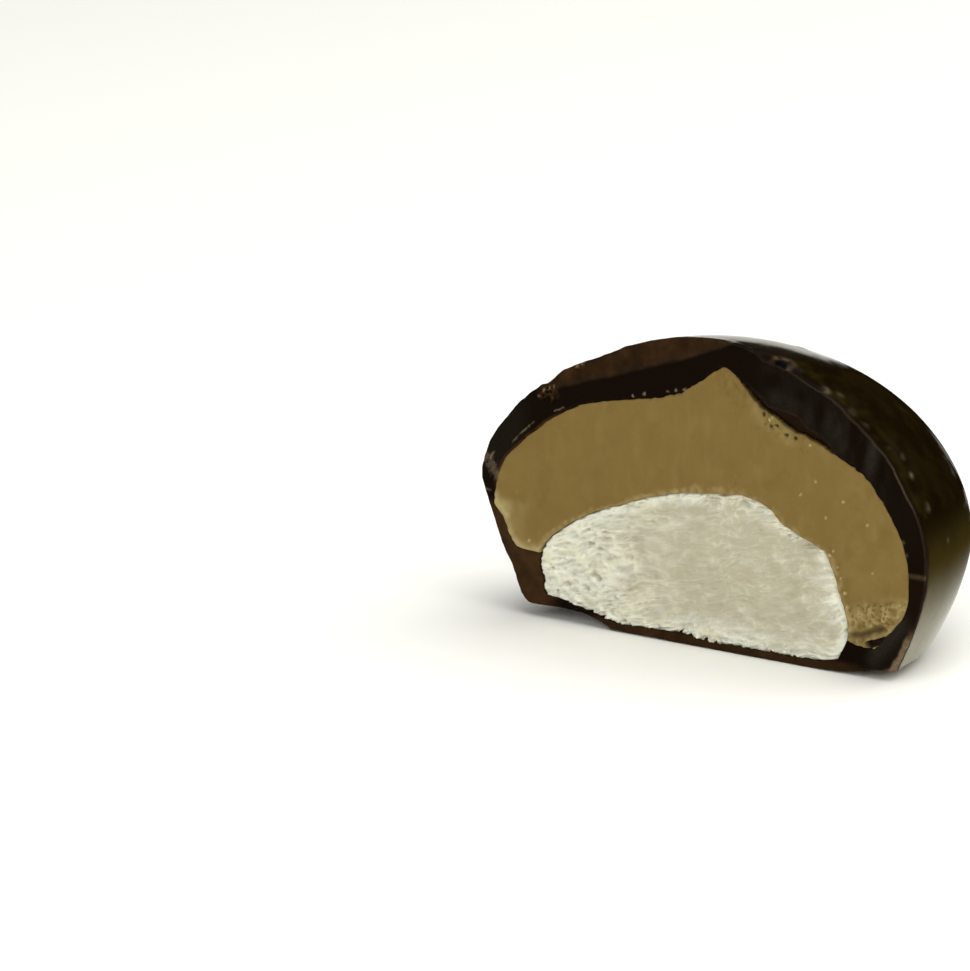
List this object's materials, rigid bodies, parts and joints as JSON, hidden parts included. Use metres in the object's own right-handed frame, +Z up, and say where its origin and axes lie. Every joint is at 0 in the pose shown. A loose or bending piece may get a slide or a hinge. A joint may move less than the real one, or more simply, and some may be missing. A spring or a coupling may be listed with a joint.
{
  "type": "coffee chocolate praline",
  "caption": "Half of a round praline, cut through: a dark chocolate coat round a coffee truffle dome that lies over a white core.",
  "frame": {"origin": "on the ground under the middle of the bounding box", "axes": "+Z is up and the base rests on z = 0; the cut face is flat and looks along -Y; +X is the right of the cut face for someone who looks at it"},
  "size_m": [0.034, 0.018, 0.0204],
  "materials": {
    "dark_chocolate": "glossy dark chocolate outside, satin on the cut",
    "coffee_truffle": "smooth, matt coffee truffle",
    "white_core": "matt, crumbly and fibrous"
  },
  "bodies": {
    "root": {"chocolate_coat": "dark_chocolate", "coffee_truffle": "coffee_truffle", "white_core": "white_core"}
  },
  "joints": []
}
